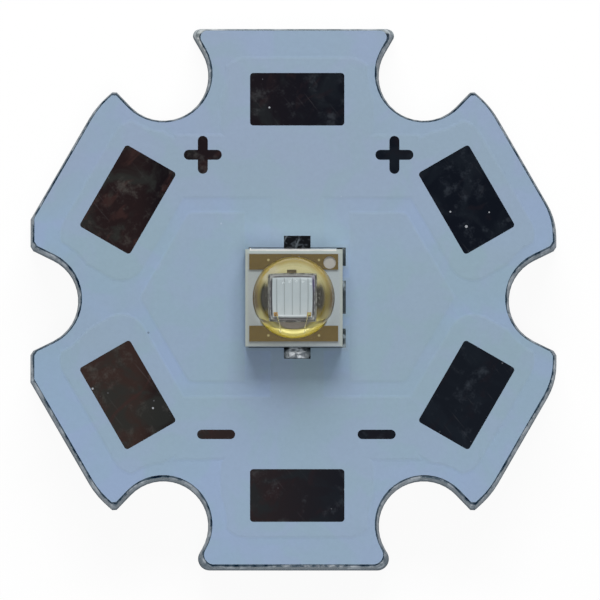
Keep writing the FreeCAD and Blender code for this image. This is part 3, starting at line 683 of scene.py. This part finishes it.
def chip_material():
    """Grey chip: light emitting top, a dark ledge round it, and a violet hint at one side."""
    paint = Paint("chip", metallic=0.2, roughness=0.35)
    centre = (chip_low + chip_high) / 2
    half = (chip_high.x - chip_low.x) / 2
    top_half = half - ledge_width
    east = paint.apart(paint.x, centre.x)
    north = paint.apart(paint.y, centre.y)
    cloud = paint.noise(2.4, detail=3.0)
    on_ledge = paint.between(paint.math("MAXIMUM", east, north), top_half - 0.008, top_half)
    colour = paint.mix(on_ledge, chip_top(paint, cloud, centre.y), chip_ledge(paint, east, north, half))
    right = paint.between(paint.math("SUBTRACT", paint.x, centre.x), top_half - 0.05, top_half)
    upper = paint.between(paint.math("SUBTRACT", paint.y, centre.y), 0.1, 0.35)
    colour = paint.mix(paint.product(right, upper, 0.3), colour, srgb(92, 74, 158))
    wall = paint.between(paint.z, chip_high.z - 0.045, chip_high.z - 0.06)
    paint.set("Base Color", paint.mix(wall, colour, srgb(116, 118, 120)))
    paint.bump(cloud, 0.001)
    return paint.material


def electrode_material():
    """Chip metal: greyish finger lines, a brighter bus and gold bond pads."""
    paint = Paint("chip metal", metallic=0.6, roughness=0.35)
    ripple = paint.noise(20.0, detail=3.0)
    fingers = paint.mix(ripple, srgb(146, 156, 162), srgb(164, 174, 180))
    low = electrode_low.y
    bus = paint.between(paint.y, low + 0.055, low + 0.045)
    colour = paint.mix(bus, fingers, srgb(214, 222, 228))
    middle = (electrode_low.x + electrode_high.x) / 2
    half = (electrode_high.x - electrode_low.x) / 2
    at_sides = paint.between(paint.apart(paint.x, middle), half - 0.125, half - 0.115)
    at_pads = paint.product(at_sides, paint.between(paint.y, low + 0.12, low + 0.115))
    paint.set("Base Color", paint.mix(at_pads, colour, srgb(176, 140, 66)))
    paint.bump(ripple, 0.001)
    return paint.material


def wire_material():
    """Drawn gold wire, with duller balls on the bond pads and its foot painted light where it lies in the
    painted arc of light.
    """
    paint = Paint("gold wire", metallic=1.0, roughness=0.25)
    drawn = paint.noise(30.0, detail=2.0)
    colour = paint.mix(drawn, srgb(168, 162, 118), srgb(188, 182, 138))
    # painted light on the wire's foot, in the painted arc
    foot = paint.between(paint.y, wire_foot + 0.22, wire_foot + 0.08)
    colour = paint.mix(foot, colour, srgb(252, 246, 196))
    at_pads = paint.between(paint.y, electrode_low.y + 0.005, electrode_low.y + 0.02)
    left_to_right = paint.between(paint.x, metal_x - 0.1, metal_x)
    balls = paint.mix(left_to_right, srgb(146, 112, 66), srgb(166, 168, 112))
    paint.set("Base Color", paint.mix(at_pads, colour, balls))
    paint.bump(drawn, 0.0005)
    return paint.material


def silicone_material():
    """Clear silicone, which lets lamps and bounced light through."""
    paint = Paint("clear silicone", roughness=0.02)
    paint.set("Base Color", srgb(252, 252, 248))
    paint.set("IOR", 1.43)
    paint.set("Transmission Weight", 1.0)
    path = paint.node("ShaderNodeLightPath")
    straight = paint.math("MAXIMUM", path.outputs["Is Shadow Ray"], path.outputs["Is Diffuse Ray"])
    clear = paint.node("ShaderNodeBsdfTransparent")
    clear.inputs["Color"].default_value = (0.70, 0.70, 0.69, 1)
    paint.surface(paint.mix_shaders(straight, paint.shader.outputs[0], clear.outputs[0]))
    paint.bump(paint.noise(0.7, detail=1.0), 0.0006)
    return paint.material


def dress(names, material):
    """Put one material on CAD nodes."""
    for name in names:
        mesh = nodes[name].data
        mesh.materials.clear()
        mesh.materials.append(material)


def dress_nodes():
    """Materials of every CAD node."""
    pads = [name for name in nodes if name.startswith(("wire_pad_", "plus_mark_", "minus_mark_"))]
    solders = [name for name in nodes if name.startswith("solder_") and name != "solder_mask"]
    hidden_metal = [name for name in nodes if name.startswith(("via_", "package_"))]
    dress(["aluminium_core"], core_material())
    dress(["dielectric_layer"], dielectric_material())
    dress(["anode_copper", "cathode_copper", "thermal_copper"], copper_material())
    dress(["solder_mask"], mask_material())
    dress(pads, tin_material())
    dress(solders, solder_material())
    dress(["ceramic_substrate"], ceramic_material())
    dress(["anode_metal", "cathode_metal"], gold_material())
    dress(hidden_metal, via_material())
    dress(["die_attach"], attach_material())
    dress(["led_chip"], chip_material())
    dress(["chip_electrode"], electrode_material())
    dress(["bond_wire_left", "bond_wire_right"], wire_material())


# Pieces made here

def finished(name, builder, material, smooth_angle=40):
    """Object from a bmesh, riding on the board."""
    mesh = bpy.data.meshes.new(name)
    bmesh.ops.recalc_face_normals(builder, faces=builder.faces)
    builder.to_mesh(mesh)
    builder.free()
    mesh.shade_smooth()
    mesh.set_sharp_from_angle(angle=math.radians(smooth_angle))
    mesh.materials.append(material)
    piece = bpy.data.objects.new(name, mesh)
    bpy.context.scene.collection.objects.link(piece)
    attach(piece, "root")
    return piece


def join_rings(builder, lower, upper):
    """Faces between two rings of as many points."""
    count = len(lower)
    for i in range(count):
        j = (i + 1) % count
        builder.faces.new((lower[i], lower[j], upper[j], upper[i]))


def square_ring(half, height, count):
    """Points of a square outline of the sawn body."""
    points = []
    for i in range(count):
        turn = 2 * math.pi * i / count
        reach = half / max(abs(math.cos(turn)), abs(math.sin(turn)))
        points.append((body_x + reach * math.cos(turn), body_y + reach * math.sin(turn), height))
    return points


def circle_ring(radius, height, count):
    """Points of a circle round the dome's axis."""
    points = []
    for i in range(count):
        turn = 2 * math.pi * i / count
        points.append((metal_x + radius * math.cos(turn), metal_y + radius * math.sin(turn), height))
    return points


def silicone_profile():
    """Radii and heights of the meniscus and the dome, from the skin to just below the top."""
    steps = 6
    lift = skin_top + meniscus - dome_base
    centre_radius = math.sqrt((dome_radius + meniscus) ** 2 - lift ** 2)
    lean = math.atan2(lift, centre_radius)
    profile = []
    for step in range(steps + 1):
        turn = -math.pi / 2 - (math.pi / 2 - lean) * step / steps
        radius = centre_radius + meniscus * math.cos(turn)
        profile.append((radius, skin_top + meniscus + meniscus * math.sin(turn)))
    rings = 30
    for step in range(1, rings):
        turn = lean + (math.pi / 2 - lean) * step / rings
        profile.append((dome_radius * math.cos(turn), dome_base + dome_radius * math.sin(turn)))
    return profile


def make_lens():
    """Silicone skin and dome in one closed form, whose underside lies just inside the ceramic."""
    count = 96
    hair = 0.002
    builder = bmesh.new()
    half = body_half - hair
    outlines = [
        square_ring(half, ceramic_top - hair, count),
        square_ring(half, skin_top - skin_bevel, count),
        square_ring(half - skin_bevel, skin_top, count),
    ]
    outlines += [circle_ring(radius, height, count) for radius, height in silicone_profile()]
    rings = [[builder.verts.new(point) for point in points] for points in outlines]
    for lower, upper in zip(rings, rings[1:]):
        join_rings(builder, lower, upper)
    builder.faces.new(list(reversed(rings[0])))
    top = builder.verts.new((metal_x, metal_y, dome_base + dome_radius))
    last = rings[-1]
    for i in range(count):
        builder.faces.new((last[i], last[(i + 1) % count], top))
    bmesh.ops.scale(builder, vec=(MM, MM, MM), verts=builder.verts)
    piece = finished("silicone_lens", builder, silicone_material())
    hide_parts("lens")


# Camera, light and floor

def make_camera():
    """Long lens almost straight above the board."""
    data = bpy.data.cameras.new("camera")
    data.lens = lens_mm
    data.sensor_width = sensor_mm
    data.clip_start = 0.01
    data.clip_end = 10.0
    camera = bpy.data.objects.new("camera", data)
    away = Vector((math.tan(lean_right), -math.tan(lean_back), 1)).normalized()
    right = Vector((0, 1, 0)).cross(away).normalized()
    up = away.cross(right)
    turn = Matrix((right, up, away)).transposed().to_4x4()
    distance = frame_width * lens_mm / sensor_mm
    camera.matrix_world = Matrix.Translation(target + away * distance) @ turn
    bpy.context.scene.collection.objects.link(camera)
    bpy.context.scene.camera = camera


def make_lamp(name, aim, direction, distance, size, power):
    """Rectangular lamp at a distance from the point that it shines on."""
    data = bpy.data.lights.new(name, "AREA")
    data.shape = "RECTANGLE"
    data.size, data.size_y = size
    data.energy = power
    lamp = bpy.data.objects.new(name, data)
    away = Vector(direction).normalized()
    lamp.location = aim + away * distance
    lamp.rotation_euler = away.to_track_quat("Z", "Y").to_euler()
    bpy.context.scene.collection.objects.link(lamp)
    return lamp


def make_lamps():
    """Two soft lamps that don't show in the dome, and small ones that do."""
    aim = Vector((0, 0, ceramic_top)) * MM
    rise = math.radians(key_elevation)
    key_towards = (key_side, math.cos(rise), math.sin(rise))
    key = make_lamp("key", aim, key_towards, key_distance, key_size, key_power)
    fill = make_lamp("fill", aim, fill_towards, fill_distance, fill_size, fill_power)
    for lamp in (key, fill):
        lamp.visible_glossy = False
        lamp.visible_transmission = False
    dome = Vector((metal_x, metal_y, dome_base)) * MM
    for number, (east, north) in enumerate(spot_tilts):
        facing = Vector((east, north, math.sqrt(1 - east * east - north * north)))
        towards = facing * (2 * facing.z) - Vector((0, 0, 1))
        make_lamp(f"spot_{number}", dome, towards, spot_distance, (spot_size, spot_size), spot_power)


def make_world():
    """Pale surroundings that look white and give a weaker light."""
    world = bpy.data.worlds.new("studio")
    bpy.context.scene.world = world
    world.use_nodes = True
    graph = Graph(world.node_tree)
    light = graph.tree.nodes["Background"]
    light.inputs["Color"].default_value = (1, 1, 1, 1)
    light.inputs["Strength"].default_value = world_strength
    backdrop = graph.node("ShaderNodeBackground")
    backdrop.inputs["Color"].default_value = (1, 1, 1, 1)
    backdrop.inputs["Strength"].default_value = 1.0
    mixed = graph.mix_shaders(graph.seen(), light.outputs[0], backdrop.outputs[0])
    graph.link(mixed, graph.tree.nodes["World Output"].inputs["Surface"])


def make_floor():
    """Plain pale floor that the board lies on."""
    mesh = bpy.data.meshes.new("floor")
    half = floor_half
    corners = [(-half, -half, 0), (half, -half, 0), (half, half, 0), (-half, half, 0)]
    mesh.from_pydata(corners, [], [(0, 1, 2, 3)])
    floor = bpy.data.objects.new("floor", mesh)
    floor.location.z = -floor_gap * MM
    bpy.context.scene.collection.objects.link(floor)
    paint = Paint("pale floor", roughness=0.9, specular=0.0)
    tone = paint.noise(0.02, detail=2.0)
    paint.set("Base Color", paint.mix(tone, (0.95, 0.95, 0.95, 1), (0.96, 0.96, 0.96, 1)))
    white = paint.node("ShaderNodeEmission")
    share = paint.product(paint.seen(), floor_whiteness)
    paint.surface(paint.mix_shaders(share, paint.shader.outputs[0], white.outputs[0]))
    mesh.materials.append(paint.material)


make_camera()
dress_nodes()
make_lens()
make_lamps()
make_world()
make_floor()
bpy.context.scene.view_settings.view_transform = "Standard"
